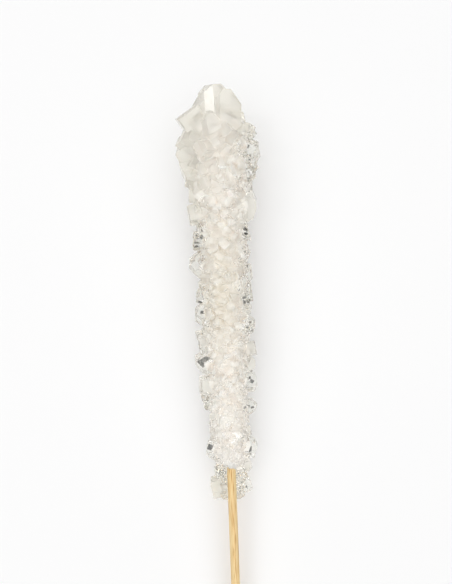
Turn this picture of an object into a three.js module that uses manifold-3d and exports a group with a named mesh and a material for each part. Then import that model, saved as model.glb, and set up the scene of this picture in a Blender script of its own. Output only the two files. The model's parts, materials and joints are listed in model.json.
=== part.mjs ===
// Rock candy on a wooden stick, lying on its back: one round skewer and the single mass of sugar crystals
// that has grown round it. Millimetres. The model is built along the stick, with +Y from the candy's lower
// end to its thick end, +X to the right and +Z towards the upper side, and is then tipped and lifted so
// that it rests on z = 0.
import * as THREE from "three";
import { mergeVertices } from "three/addons/utils/BufferGeometryUtils.js";
import Module from "manifold-3d";

const wasm = await Module();
wasm.setup();

// ---- driving dimensions ----
const CANDY_LENGTH = 141; // from the lowest crystal to the tip of the thick end
const STICK_DIAMETER = 3; // a round skewer
const STICK_LENGTH = 200; // the common skewer, cut square at both ends
const HANDLE_LENGTH = 72; // bare stick below the lowest crystal
const STICK_EDGE = 0.25; // bevel of the cut ends
const STICK_SIDES = 32;
const STICK_GAP = 0.3; // room between the stick and the sugar round it
const BARE_FRONT = 11; // the front of the stick stays bare up to here, where the crystals close over it
const GROOVE_WIDTH = 3.8; // the gap between the crystals on either side of the bare front

// The mass lies on two places: how far the floor is below the stick's axis at each.
const REST_LOW = { along: 18, below: 7.7 };
const REST_HIGH = { along: 117, below: 12.7 };

// The heart of the mass, from which the crystals stand out: its radius at places along the stick, and the
// width of the small crystals that cover it there.
const HEART = [
  { along: 0.4, radius: 3, crystal: 2.2 },
  { along: 9, radius: 3.9, crystal: 2.4 },
  { along: 18, radius: 5, crystal: 2.6 },
  { along: 36, radius: 5.6, crystal: 2.8 },
  { along: 60, radius: 6.6, crystal: 3.2 },
  { along: 95, radius: 6.8, crystal: 3.6 },
  { along: 112, radius: 9.2, crystal: 4.6 },
  { along: 122, radius: 9.4, crystal: 5.4 },
  { along: 131, radius: 6.5, crystal: 5.4 },
  { along: 135, radius: 3, crystal: 5 },
];
const HEART_SIDES = 12;
const HEART_RINGS = 14;
const HEART_LUMP = 0.06; // how much its radius wanders

// The forms that a leading crystal has. cut: how much of two opposite long edges is missing; flat: how much
// of the end is square; slope: how steeply the rest of the end falls away.
const SLAB = { cut: 0.2, flat: 0.55, slope: 0.4 };
const BLOCK = { cut: 0.5, flat: 0.3, slope: 0.6 };
const BLUNT = { cut: 0.45, flat: 0.16, slope: 0.36 };
const WEDGE = { cut: 0.5, flat: 0.08, slope: 0.85 };
const CHISEL = { cut: 0.55, flat: 0.26, slope: 1.35 };
const PRISM = { cut: 0.6, flat: 0.36, slope: 1 };

// The leading crystals, which give the mass its outline. along: place of the tip along the stick; around:
// the side it stands on, in degrees from the right over the top; reach: from the stick's axis to the tip;
// size: length, width and thickness; pitch: how far it leans towards the thick end; spin: its turn about
// its own length, at 0 with its width along the stick.
const LEADERS = [
  // the thick end
  { along: CANDY_LENGTH, around: 114, reach: 3.7, size: [20, 8, 8], pitch: 87, spin: 47, form: PRISM },
  { along: 139.4, around: 55, reach: 4.3, size: [17, 10, 10], pitch: 84, spin: -25, form: CHISEL },
  { along: 132.4, around: 166, reach: 11.2, size: [14, 8.8, 7.6], pitch: 55, spin: -8, form: SLAB },
  { along: 127, around: 70, reach: 9.3, size: [13, 8.6, 11.4], pitch: 57, spin: 10, form: WEDGE },
  { along: 138.8, around: 150, reach: 3.6, size: [18, 8, 9], pitch: 88, spin: 90, form: CHISEL },
  { along: 131.8, around: 112, reach: 8, size: [13, 6, 6.4], pitch: 72, spin: 24, form: CHISEL },
  { along: 119.6, around: 178, reach: 14.6, size: [12, 9, 10], pitch: 14, spin: 66, form: WEDGE },
  { along: 113.4, around: 182, reach: 13.6, size: [11, 8.6, 10], pitch: -6, spin: 112, form: BLUNT },
  { along: 124.4, around: 160, reach: 13.2, size: [10, 7, 7], pitch: 34, spin: 30, form: BLOCK },
  { along: 118.6, around: 2, reach: 13.5, size: [12, 9, 10.6], pitch: 8, spin: 68, form: WEDGE },
  { along: 112.6, around: 358, reach: 11.8, size: [10, 8, 9], pitch: -8, spin: 110, form: BLUNT },
  { along: 127.5, around: 16, reach: 9.8, size: [12, 8, 9], pitch: 48, spin: 70, form: BLOCK },
  { along: 131, around: 300, reach: 9.6, size: [14, 10, 10], pitch: 42, spin: 75, form: WEDGE },
  { along: 132, around: 226, reach: 8.8, size: [14, 10, 9], pitch: 46, spin: 30, form: BLOCK },
  // the left side, going down
  { along: 108.6, around: 174, reach: 12.1, size: [6, 3.2, 3.4], pitch: 12, spin: 45, form: BLOCK },
  { along: 104.6, around: 180, reach: 11, size: [8, 6, 6.4], pitch: -4, spin: 70, form: BLOCK },
  { along: 97, around: 178, reach: 11.4, size: [8, 5.8, 5], pitch: -8, spin: 22, form: SLAB },
  { along: 88.2, around: 184, reach: 10, size: [7, 5.4, 5.4], pitch: 4, spin: 36, form: BLOCK },
  { along: 81, around: 178, reach: 11.7, size: [9, 6, 9.6], pitch: 6, spin: 62, form: WEDGE },
  { along: 70, around: 176, reach: 9.6, size: [7, 4.6, 4.8], pitch: 10, spin: 45, form: BLOCK },
  { along: 64, around: 182, reach: 10.3, size: [8, 6, 7.4], pitch: -4, spin: 64, form: WEDGE },
  { along: 53.8, around: 178, reach: 9.6, size: [8, 6, 6], pitch: -10, spin: -18, form: SLAB },
  { along: 48.2, around: 172, reach: 11, size: [10, 6, 6.6], pitch: 14, spin: 66, form: WEDGE },
  { along: 39.4, around: 168, reach: 9.8, size: [10, 5.6, 5.4], pitch: -2, spin: -14, form: SLAB },
  { along: 33.2, around: 184, reach: 8.6, size: [6, 4.6, 4.4], pitch: -14, spin: 40, form: BLOCK },
  { along: 21.8, around: 178, reach: 6.6, size: [5, 3, 3], pitch: 4, spin: 45, form: BLOCK },
  { along: 17.6, around: 182, reach: 8.2, size: [6, 5, 5.8], pitch: 0, spin: 70, form: BLUNT },
  { along: 9.4, around: 172, reach: 5.6, size: [4.6, 4, 3.6], pitch: -6, spin: -8, form: SLAB },
  { along: 4.4, around: 184, reach: 6.9, size: [7, 5, 6.4], pitch: -12, spin: 70, form: SLAB },
  // the right side, going down
  { along: 100.4, around: 2, reach: 11.9, size: [8, 7, 9.2], pitch: 0, spin: 108, form: BLUNT },
  { along: 90.4, around: 8, reach: 9.2, size: [6, 4.6, 4.4], pitch: 12, spin: 40, form: BLOCK },
  { along: 84.6, around: 356, reach: 8.3, size: [6, 5, 4.4], pitch: -6, spin: 65, form: BLOCK },
  { along: 77.4, around: 14, reach: 9.6, size: [7, 5.2, 3], pitch: 2, spin: 16, form: SLAB },
  { along: 70.6, around: 358, reach: 9.2, size: [7, 6.2, 5], pitch: 6, spin: 20, form: BLOCK },
  { along: 65, around: 10, reach: 8.6, size: [6, 4.4, 4.4], pitch: -4, spin: 50, form: BLOCK },
  { along: 59.4, around: 4, reach: 9.9, size: [7, 5, 5], pitch: -8, spin: 60, form: WEDGE },
  { along: 51.4, around: 2, reach: 9.9, size: [7, 4.6, 4.4], pitch: 8, spin: -8, form: SLAB },
  { along: 45.6, around: 356, reach: 9.3, size: [7, 5.6, 6], pitch: 0, spin: 75, form: BLOCK },
  { along: 39.8, around: 4, reach: 9.9, size: [8, 5, 6.2], pitch: -4, spin: 70, form: BLUNT },
  { along: 31, around: 0, reach: 9.2, size: [8, 4.4, 4.8], pitch: -14, spin: 106, form: WEDGE },
  { along: 23.4, around: 5, reach: 7.3, size: [5, 3.6, 3.6], pitch: 4, spin: 60, form: BLOCK },
  { along: 17.6, around: 358, reach: 9, size: [7, 5, 5.8], pitch: -4, spin: 68, form: BLUNT },
  { along: 11.8, around: 4, reach: 7, size: [5, 4, 4.6], pitch: 0, spin: 80, form: BLOCK },
  { along: 4.2, around: 354, reach: 6.9, size: [7, 4.4, 4.8], pitch: -20, spin: 104, form: WEDGE },
  // the underside, where the mass rests
  { along: 118, around: 248, reach: 13.8, size: [12, 10, 9], pitch: 0, spin: 20, form: BLOCK },
  { along: 115, around: 291, reach: 13.6, size: [12, 10, 9], pitch: -4, spin: 60, form: BLOCK },
  { along: 19, around: 262, reach: 8.8, size: [7, 6, 5], pitch: 2, spin: 15, form: BLOCK },
  { along: 24, around: 283, reach: 8.6, size: [7, 6, 5], pitch: -2, spin: 55, form: BLOCK },
  { along: 5, around: 268, reach: 5.6, size: [5, 6, 5], pitch: -10, spin: 25, form: SLAB },
];

// The small crystals between them stand on a spiral round the heart, spaced so that each has share times
// the square of its width to itself. The pairs are the least and the most, as parts of the width; the turns
// are in degrees.
const CROWD = {
  from: 12,
  to: 124,
  turn: 137.508,
  share: 1.35,
  width: [0.8, 1.3], // of the crystal width given for the heart there
  length: 1.6,
  depth: [0.7, 1.05],
  stand: [0.18, 0.42],
  lean: [0, 0.5],
  slope: [0, 0.5],
  tilt: [-35, 35],
  spin: [0, 360],
};
const SMALLEST_EDGE = 0.08; // finer steps are left out
const SAME_POINT = 1e-4;

const { degToRad, lerp, mapLinear } = THREE.MathUtils;

// ---- between three.js and the boolean library ----
function solidFrom(numbers, corners) {
  const mesh = new wasm.Mesh({
    numProp: 3,
    vertProperties: new Float32Array(numbers),
    triVerts: new Uint32Array(corners),
  });
  return new wasm.Manifold(mesh);
}

function solidOf(geometry) {
  const bare = geometry.clone();
  bare.deleteAttribute("normal");
  bare.deleteAttribute("uv");
  const merged = mergeVertices(bare, SAME_POINT);
  return solidFrom(merged.attributes.position.array, merged.index.array);
}

function geometryOf(solid) {
  const mesh = solid.getMesh();
  const geometry = new THREE.BufferGeometry();
  geometry.setAttribute("position", new THREE.BufferAttribute(new Float32Array(mesh.vertProperties), 3));
  geometry.setIndex(new THREE.BufferAttribute(new Uint32Array(mesh.triVerts), 1));
  return geometry;
}

// ---- the two kinds of sugar crystal ----
// A crystal is a prism along y. Its section goes round in units of its half width (x) and half thickness
// (z), and drop says how far each corner lies below the tip, in half thicknesses. Both ends are alike.

// A leading crystal's section is a rectangle with two opposite corners cut, and its ends are roofs with a
// flat ridge.
function leadingSection({ cut, flat, slope }) {
  const section = [
    [1, -flat],
    [1, flat],
    [1, 1 - cut],
    [1 - cut, 1],
    [-1, 1],
    [-1, flat],
    [-1, -flat],
    [-1, cut - 1],
    [cut - 1, -1],
    [1, -1],
  ];
  return section.map(([x, z]) => ({ x, z, drop: slope * Math.max(0, Math.abs(z) - flat) }));
}
const RIDGE = [
  [0, 1, 5],
  [0, 5, 6],
];
const ROOFS = [
  [1, 2, 3],
  [1, 3, 4],
  [1, 4, 5],
  [6, 7, 8],
  [6, 8, 9],
  [6, 9, 0],
];

// A small crystal's section is a leaning rectangle, and its ends slope one way.
function smallSection(lean, slope) {
  const section = [
    [1, -1],
    [1 - lean, 1],
    [-1, 1],
    [lean - 1, -1],
  ];
  return section.map(([x, z]) => ({ x, z, drop: slope * (1 + z) }));
}
const SLANT = [
  [0, 1, 2],
  [0, 2, 3],
];

function prism([length, width, thickness], section, endFaces) {
  const ring = (end) =>
    section.map(({ x, z, drop }) => [
      (x * width) / 2,
      (end * (length - drop * thickness)) / 2,
      (z * thickness) / 2,
    ]);
  const points = [...ring(1), ...ring(-1)];
  const count = section.length;
  const faces = [];
  for (let i = 0; i < count; i++) {
    const next = (i + 1) % count;
    faces.push([i, next, i + count], [next, next + count, i + count]);
  }
  for (const [a, b, c] of endFaces) faces.push([a, c, b], [a + count, b + count, c + count]);
  return solidFrom(points.flat(), faces.flat());
}

// ---- where a crystal stands ----
// Moves a crystal so that its tip is at a reach from the stick's axis, pointing outwards and leaning. yaw
// turns it about the stick.
function place(solid, { along, around, reach, size, pitch, yaw = 0, spin }) {
  const up = new THREE.Vector3(0, 1, 0);
  const outward = new THREE.Vector3(Math.cos(degToRad(around)), 0, Math.sin(degToRad(around)));
  const side = outward.clone().cross(up);
  const way = outward
    .clone()
    .multiplyScalar(Math.cos(degToRad(pitch)))
    .addScaledVector(up, Math.sin(degToRad(pitch)))
    .applyAxisAngle(up, degToRad(yaw));
  const widthWay = side.cross(way).normalize().applyAxisAngle(way, degToRad(spin));
  const depthWay = widthWay.clone().cross(way);
  const middle = outward
    .multiplyScalar(reach)
    .addScaledVector(up, along)
    .addScaledVector(way, -size[0] / 2);
  const turn = new THREE.Matrix4().makeBasis(widthWay, way, depthWay).setPosition(middle);
  return solid.transform(turn.elements);
}

// The heart's radius or crystal width, straight between the places where they are given.
function heartAt(along, what) {
  const next = HEART.findIndex((station) => station.along >= along);
  if (next === 0) return HEART[0][what];
  if (next < 0) return HEART.at(-1)[what];
  const [low, high] = [HEART[next - 1], HEART[next]];
  return mapLinear(along, low.along, high.along, low[what], high[what]);
}

// Numbers from 0 to 1 that only the index decides.
function draws(index, count) {
  return Array.from({ length: count }, (_, kind) => {
    const value = Math.sin(index * 12.9898 + (kind + 1) * 78.233) * 43758.5453;
    return value - Math.floor(value);
  });
}

// ---- the sub-parts ----
function stickGeometry() {
  const radius = STICK_DIAMETER / 2;
  const [low, high] = [-HANDLE_LENGTH, STICK_LENGTH - HANDLE_LENGTH];
  const profile = [
    [0, low],
    [radius - STICK_EDGE, low],
    [radius, low + STICK_EDGE],
    [radius, high - STICK_EDGE],
    [radius - STICK_EDGE, high],
    [0, high],
  ];
  return new THREE.LatheGeometry(
    profile.map(([r, y]) => new THREE.Vector2(r, y)),
    STICK_SIDES,
  );
}

function heart() {
  const [low, high] = [HEART[0].along, HEART.at(-1).along];
  const profile = [new THREE.Vector2(0, low)];
  for (let i = 0; i <= HEART_RINGS; i++) {
    const along = lerp(low, high, i / HEART_RINGS);
    const [lump] = draws(i, 1);
    const radius = heartAt(along, "radius") * lerp(1 - HEART_LUMP, 1 + HEART_LUMP, lump);
    profile.push(new THREE.Vector2(radius, along));
  }
  profile.push(new THREE.Vector2(0, high));
  return solidOf(new THREE.LatheGeometry(profile, HEART_SIDES));
}

function leaders() {
  return LEADERS.map((leader) => {
    const solid = prism(leader.size, leadingSection(leader.form), [...RIDGE, ...ROOFS]);
    return place(solid, leader);
  });
}

function crowd() {
  const crystals = [];
  let along = CROWD.from;
  for (let i = 0; along < CROWD.to; i++) {
    const [wide, deep, lean, slope, stand, pitch, yaw, spin] = draws(i, 8);
    const radius = heartAt(along, "radius");
    const typical = heartAt(along, "crystal");
    const width = typical * lerp(...CROWD.width, wide);
    const size = [width * CROWD.length, width, width * lerp(...CROWD.depth, deep)];
    const section = smallSection(lerp(...CROWD.lean, lean), lerp(...CROWD.slope, slope));
    const stance = {
      along,
      around: i * CROWD.turn,
      reach: radius + width * lerp(...CROWD.stand, stand),
      size,
      pitch: lerp(...CROWD.tilt, pitch),
      yaw: lerp(...CROWD.tilt, yaw),
      spin: lerp(...CROWD.spin, spin),
    };
    crystals.push(place(prism(size, section, SLANT), stance));
    along += (CROWD.share * typical * typical) / (2 * Math.PI * radius);
  }
  return crystals;
}

// What the stick takes out of the sugar: its own bore, and the groove that leaves its front bare at the
// lower end.
function stickRoom() {
  const radius = STICK_DIAMETER / 2 + STICK_GAP;
  const [low, high] = [-HANDLE_LENGTH, STICK_LENGTH - HANDLE_LENGTH + STICK_GAP];
  const bore = new THREE.CylinderGeometry(radius, radius, high - low, STICK_SIDES);
  bore.translate(0, (high + low) / 2, 0);
  const groove = new THREE.BoxGeometry(GROOVE_WIDTH, BARE_FRONT - low, CANDY_LENGTH);
  groove.translate(0, (BARE_FRONT + low) / 2, CANDY_LENGTH / 2);
  return solidOf(bore).add(solidOf(groove));
}

// How far the stick is tipped when the mass lies on its two places, thick end up.
const tilt = Math.asin((REST_HIGH.below - REST_LOW.below) / (REST_HIGH.along - REST_LOW.along));

// The floor, as a block in the stick's frame.
function floor() {
  const block = new THREE.BoxGeometry(CANDY_LENGTH, 2 * STICK_LENGTH, CANDY_LENGTH);
  block.translate(0, 0, -CANDY_LENGTH / 2).rotateX(-tilt).translate(0, REST_LOW.along, -REST_LOW.below);
  return solidOf(block);
}

// All the crystals in one, with what the stick and the floor take away. Only the largest piece is kept: the
// rest are crumbs, and hollows that the crystals have closed in.
function sugarGeometry() {
  const grown = wasm.Manifold.union([heart(), ...leaders(), ...crowd()]);
  const mass = grown.subtract(stickRoom()).subtract(floor()).simplify(SMALLEST_EDGE);
  const [largest] = mass.decompose().sort((a, b) => b.volume() - a.volume());
  return geometryOf(largest);
}

// ---- materials ----
const wood = new THREE.MeshStandardMaterial({ color: 0xe6c795, roughness: 0.62, metalness: 0 });
const sugar = new THREE.MeshStandardMaterial({
  color: 0xebe6db,
  roughness: 0.12,
  metalness: 0,
  transparent: true,
  opacity: 0.85,
});

// ---- the scene graph ----
const stick = new THREE.Mesh(stickGeometry(), wood);
stick.name = "stick";
const crystals = new THREE.Mesh(sugarGeometry(), sugar);
crystals.name = "sugar_crystals";
const candy = new THREE.Group();
candy.add(stick, crystals);
candy.rotation.x = tilt;

const rockCandy = new THREE.Group();
rockCandy.add(candy);

// The origin is on the floor, under the middle of the whole.
rockCandy.updateMatrixWorld(true);
const bounds = new THREE.Box3().setFromObject(rockCandy, true);
const middle = bounds.getCenter(new THREE.Vector3());
candy.position.set(-middle.x, -middle.y, -bounds.min.z);

export default rockCandy;
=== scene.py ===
"""Looks for a rock candy stick: clear sugar crystals grown along a bamboo skewer, lying on a pale floor.

The crystals are placed in the stick's own frame, in millimetres: x to the right, y along the stick from the
candy's lower end to its thick end, and z towards the shown side. StickFrame turns that into the row frame,
in metres.
"""

import json
import logging
import math
from dataclasses import astuple, dataclass
from enum import Enum
from itertools import count

import bpy
import numpy as np
from mathutils import Matrix, Vector

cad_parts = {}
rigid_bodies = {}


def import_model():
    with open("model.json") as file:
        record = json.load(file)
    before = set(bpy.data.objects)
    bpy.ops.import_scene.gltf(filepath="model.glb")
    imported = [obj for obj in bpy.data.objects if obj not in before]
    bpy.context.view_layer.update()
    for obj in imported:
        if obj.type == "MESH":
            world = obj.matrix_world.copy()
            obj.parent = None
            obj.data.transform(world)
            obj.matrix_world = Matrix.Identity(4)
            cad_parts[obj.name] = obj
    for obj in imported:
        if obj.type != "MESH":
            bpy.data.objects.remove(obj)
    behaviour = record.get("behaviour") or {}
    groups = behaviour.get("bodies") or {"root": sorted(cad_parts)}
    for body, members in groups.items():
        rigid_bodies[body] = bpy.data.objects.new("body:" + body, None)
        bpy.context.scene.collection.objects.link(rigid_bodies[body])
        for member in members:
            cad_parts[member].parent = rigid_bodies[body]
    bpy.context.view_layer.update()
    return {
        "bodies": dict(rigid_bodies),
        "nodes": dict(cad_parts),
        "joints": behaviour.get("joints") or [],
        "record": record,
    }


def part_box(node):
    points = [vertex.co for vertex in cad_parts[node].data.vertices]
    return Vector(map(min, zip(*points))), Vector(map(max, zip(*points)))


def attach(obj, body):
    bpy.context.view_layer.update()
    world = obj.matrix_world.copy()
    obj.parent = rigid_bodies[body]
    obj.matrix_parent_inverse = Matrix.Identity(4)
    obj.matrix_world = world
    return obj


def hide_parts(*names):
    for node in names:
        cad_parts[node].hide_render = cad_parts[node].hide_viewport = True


log = logging.getLogger("rock_candy")

MM = 0.001

Pair = tuple[float, float]
Triple = tuple[float, float, float]
Colour = tuple[float, float, float, float]
Columns = list[np.ndarray] | tuple[np.ndarray, ...]
Surface = tuple[np.ndarray, np.ndarray]  # points and faces
Item = bpy.types.Object
Node = bpy.types.Node
Socket = bpy.types.NodeSocket
Sockets = bpy.types.NodeOutputs
Tree = bpy.types.NodeTree
Value = float | tuple | Socket
Inputs = dict[str | int, Value]


# ---- numbers ----


def draws(first: int, number: int, kinds: int) -> np.ndarray:
    """Gives numbers from 0 to 1 that only the index decides.

    The fraction of 43758.5453 sin(12.9898 index + 78.233 kind), for kind 1, 2 and so on.

    Args:
        first: The first index.
        number: How many indexes there are.
        kinds: How many numbers each index gets.

    Returns:
        An array of one row for each index and one column for each kind.
    """
    index = first + np.arange(number)[:, None]
    value = np.sin(index * 12.9898 + np.arange(1, kinds + 1) * 78.233) * 43758.5453
    return value - np.floor(value)


def between(pair: Pair, share: np.ndarray) -> np.ndarray:
    """Gives the numbers that lie at a share of the way between a pair."""
    return pair[0] + (pair[1] - pair[0]) * share


def rows(*values: np.ndarray) -> np.ndarray:
    """Puts columns of numbers side by side."""
    return np.stack(values, axis=-1)


def columns(table: list | tuple) -> list[np.ndarray]:
    """Turns rows of numbers, or of tuples of them, into an array for each column."""
    return [np.array(column, float) for column in zip(*table)]


def any_way_up(turns: np.ndarray) -> np.ndarray:
    """Turns the axes by three angles, one after another about x, y and z.

    Args:
        turns: Rows of three angles, as parts of a full turn.

    Returns:
        A matrix for each row, whose own rows are the turned axes.
    """
    basis = np.eye(3)
    for axis, angle in enumerate(turns.T * 2 * np.pi):
        i, j = (axis + 1) % 3, (axis + 2) % 3
        turn = np.tile(np.eye(3), (len(angle), 1, 1))
        turn[:, i, i] = turn[:, j, j] = np.cos(angle)
        turn[:, i, j], turn[:, j, i] = -np.sin(angle), np.sin(angle)
        basis = basis @ turn
    return basis


# ---- the stick's frame ----


@dataclass(frozen=True)
class StickFrame:
    """Where the stick's own frame lies in the row frame."""

    origin: np.ndarray  # the point on the stick's axis level with the candy's lowest crystal, in metres
    tilt: float  # how far the thick end is tipped up, in radians

    @classmethod
    def from_stick(cls, node: str, length: float, handle: float, tilt: float) -> "StickFrame":
        """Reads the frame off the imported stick, whose box is centred on the stick's own middle.

        Args:
            node: The stick's node.
            length: The stick's length in mm.
            handle: How much of it is below the candy, in mm.
            tilt: How far the thick end is tipped up, in radians.

        Returns:
            The stick's frame.
        """
        low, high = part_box(node)
        middle = np.array((low + high) / 2)
        along = np.array([0.0, math.cos(tilt), math.sin(tilt)])
        return cls(middle - along * (length / 2 - handle) * MM, tilt)

    def to_row(self, points: np.ndarray) -> np.ndarray:
        """Turns points in the stick's frame into the row frame.

        Args:
            points: Rows of places, in mm.

        Returns:
            The same places, in metres.
        """
        c, s = math.cos(self.tilt), math.sin(self.tilt)
        axes = np.array([[1.0, 0.0, 0.0], [0.0, c, s], [0.0, -s, c]])
        return self.origin + points @ axes * MM


# ---- meshes ----


def linked(name: str, data: bpy.types.ID) -> Item:
    """Makes an object and links it to the scene.

    Args:
        name: The object's name.
        data: Its mesh, lamp or camera.

    Returns:
        The object.
    """
    item = bpy.data.objects.new(name, data)
    bpy.context.scene.collection.objects.link(item)
    return item


def flat_mesh(name: str, points: np.ndarray, faces: np.ndarray) -> bpy.types.Mesh:
    """Makes a flat-shaded mesh from arrays.

    Args:
        name: The mesh's name.
        points: Corner places, one row each, in metres.
        faces: Corner numbers, one row for each face, all with the same number of corners.

    Returns:
        The mesh.
    """
    mesh = bpy.data.meshes.new(name)
    mesh.vertices.add(len(points))
    mesh.vertices.foreach_set("co", np.ascontiguousarray(points, dtype=np.float32).ravel())
    mesh.loops.add(faces.size)
    mesh.loops.foreach_set("vertex_index", faces.ravel().astype(np.int32))
    mesh.polygons.add(len(faces))
    mesh.polygons.foreach_set("loop_start", np.arange(0, faces.size, faces.shape[1], dtype=np.int32))
    mesh.update(calc_edges=True)
    mesh.validate()
    mesh.shade_flat()
    return mesh


def solid(name: str, points: np.ndarray, faces: np.ndarray) -> Item:
    """Makes an object of a mesh of its own, as flat_mesh makes it."""
    return linked(name, flat_mesh(name, points, faces))


def halved(quads: np.ndarray) -> np.ndarray:
    """Cuts faces of four corners into triangles."""
    return np.concatenate([quads[:, [0, 1, 2]], quads[:, [0, 2, 3]]])


def lathe(profile: np.ndarray, sides: int) -> Surface:
    """Turns a profile about the y axis into a closed surface of triangles.

    A point at angle a is (r cos a, y, -r sin a), and each end is closed by a fan round the axis.

    Args:
        profile: Rows of radius and y, from low to high, none of them on the axis.
        sides: How many sides go round.

    Returns:
        The points and the triangles, facing outwards.
    """
    rings = len(profile)
    angle = np.linspace(0, 2 * np.pi, sides, endpoint=False)
    radius, along = profile[:, :1], profile[:, 1:]
    across, up = radius * np.cos(angle), -radius * np.sin(angle)
    ring = rows(across, np.repeat(along, sides, axis=1), up).reshape(-1, 3)
    ends = np.array([[0, profile[0, 1], 0], [0, profile[-1, 1], 0]])
    here = np.arange(sides)
    there = (here + 1) % sides
    base = np.arange(rings - 1)[:, None] * sides
    a, b = base + here, base + there
    walls = halved(rows(a, b, b + sides, a + sides).reshape(-1, 4))
    last = (rings - 1) * sides
    foot = rows(np.full(sides, rings * sides), there, here)
    head = rows(np.full(sides, rings * sides + 1), last + here, last + there)
    return np.concatenate([ring, ends]), np.concatenate([walls, foot, head])


def box(low: Triple, high: Triple) -> Surface:
    """Gives a box as a closed surface.

    Args:
        low: The corner with the lowest coordinates.
        high: The opposite corner.

    Returns:
        The corners and the triangles, facing outwards.
    """
    corner = np.array([[x, y, z] for x in (0, 1) for y in (0, 1) for z in (0, 1)], float)
    points = np.array(low) + corner * (np.array(high) - np.array(low))
    quads = [[0, 1, 3, 2], [4, 6, 7, 5], [0, 4, 5, 1], [2, 3, 7, 6], [0, 2, 6, 4], [1, 5, 7, 3]]
    return points, halved(np.array(quads))


# ---- crystals ----


@dataclass(frozen=True)
class Habit:
    """The form of a crystal's section and ends."""

    cut: float  # how much of two opposite long edges is missing
    flat: float  # how much of the end is square
    slope: float  # how steeply the rest of the end falls away


class Form(Enum):
    """The forms that a leading crystal has."""

    SLAB = Habit(0.2, 0.55, 0.4)
    BLOCK = Habit(0.5, 0.3, 0.6)
    BLUNT = Habit(0.45, 0.16, 0.36)
    WEDGE = Habit(0.5, 0.08, 0.85)
    CHISEL = Habit(0.55, 0.26, 1.35)
    PRISM = Habit(0.6, 0.36, 1.0)


# The corners of half a section: the sign of x, whether the cut is taken off it, the same for z, and whether
# the corner is on the ridge. The other half is the same, turned half round.
HALF_SECTION = np.array(
    [[1, 0, -1, 0, 1], [1, 0, 1, 0, 1], [1, 0, 1, 1, 0], [1, 1, 1, 0, 0], [-1, 0, 1, 0, 0]]
)
SECTION = np.concatenate([HALF_SECTION, HALF_SECTION * [-1, 1, -1, 1, 1]])
RING = len(SECTION)
END_FACES = np.array([[0, 1, 5], [0, 5, 6], [1, 2, 3], [1, 3, 4], [1, 4, 5], [6, 7, 8], [6, 8, 9], [6, 9, 0]])


def prism_faces() -> np.ndarray:
    """Gives the faces of a crystal whose corners are its upper ring and then its lower one.

    Returns:
        Corner numbers, a row for each triangle.
    """
    here = np.arange(RING)
    there = (here + 1) % RING
    walls = rows(here, there, here + RING), rows(there, there + RING, here + RING)
    return np.concatenate([*walls, END_FACES[:, [0, 2, 1]], END_FACES + RING])


@dataclass
class Crystals:
    """Many crystals as arrays, one row for each, in the stick's frame and in mm."""

    middle: np.ndarray
    basis: np.ndarray  # three rows: the ways that its width, its length and its thickness run
    size: np.ndarray  # length, width and thickness
    habit: np.ndarray  # cut, flat and slope, as in Habit

    @classmethod
    def standing(cls, tips: Columns, size: np.ndarray, turns: Columns, habit: np.ndarray) -> "Crystals":
        """Stands crystals on the stick.

        The length points outwards, turned by pitch towards the thick end and by yaw about the stick, and the
        width and thickness are turned by spin about the length.

        Args:
            tips: Where the tips are: along the stick in mm, round it in degrees from the right over the
                top, and out from its axis in mm.
            size: Length, width and thickness, in mm.
            turns: Pitch, yaw and spin, in degrees.
            habit: Cut, flat and slope.

        Returns:
            The crystals.
        """
        along, around, reach = tips
        around, pitch, yaw, spin = (np.radians(angle)[:, None] for angle in (around, *turns))
        up = np.array([0.0, 1.0, 0.0])
        outward = np.concatenate([np.cos(around), np.zeros_like(around), np.sin(around)], axis=1)
        side = np.cross(outward, up)
        lean = outward * np.cos(pitch) + up * np.sin(pitch)
        way = lean * np.cos(yaw) + np.cross(up, lean) * np.sin(yaw) + up * lean[:, 1:2] * (1 - np.cos(yaw))
        wide = np.cross(side, way)
        wide /= np.linalg.norm(wide, axis=1, keepdims=True)
        wide = wide * np.cos(spin) + np.cross(way, wide) * np.sin(spin)
        middle = outward * reach[:, None] + up * along[:, None] - way * size[:, :1] / 2
        return cls(middle, np.stack([wide, way, np.cross(wide, way)], axis=1), size, habit)

    @classmethod
    def together(cls, *groups: "Crystals") -> "Crystals":
        """Puts several groups of crystals into one."""
        return cls(*(np.concatenate([getattr(g, part) for g in groups]) for part in cls.__dataclass_fields__))

    def __len__(self) -> int:
        """Gives how many crystals there are."""
        return len(self.middle)

    def pick(self, which: np.ndarray | slice) -> "Crystals":
        """Gives some of the crystals."""
        return Crystals(*(getattr(self, part)[which] for part in self.__dataclass_fields__))

    def extents(self) -> np.ndarray:
        """Gives each crystal's size along the rows of its basis: width, length and thickness."""
        return self.size[:, [1, 0, 2]]

    def inside(self, offset: np.ndarray) -> np.ndarray:
        """Gives a place for each crystal, from its offset from the middle along the rows of the basis."""
        return self.middle + np.einsum("ni,nij->nj", offset, self.basis)

    def corners(self) -> np.ndarray:
        """Works out every crystal's corners.

        The section's corners are (x, z) in half widths and half thicknesses. A corner lies slope (|z| - flat)
        half thicknesses below the tip where |z| is over flat, and both ends are alike.

        Returns:
            An array of crystals by 20 corners by 3.
        """
        cut, flat, slope = (self.habit[:, i, None] for i in range(3))
        sign_x, cut_x, sign_z, cut_z, ridge = SECTION.T
        x = sign_x * (1 - cut * cut_x)
        z = np.where(ridge, sign_z * flat, sign_z * (1 - cut * cut_z))
        drop = slope * np.maximum(0, np.abs(z) - flat)
        length, width, thickness = (self.size[:, i, None] for i in range(3))
        half = (length - drop * thickness) / 2
        upper = rows(x * width / 2, half, z * thickness / 2)
        local = np.concatenate([upper, upper * [1, -1, 1]], axis=1)
        return self.middle[:, None] + local @ self.basis


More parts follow.
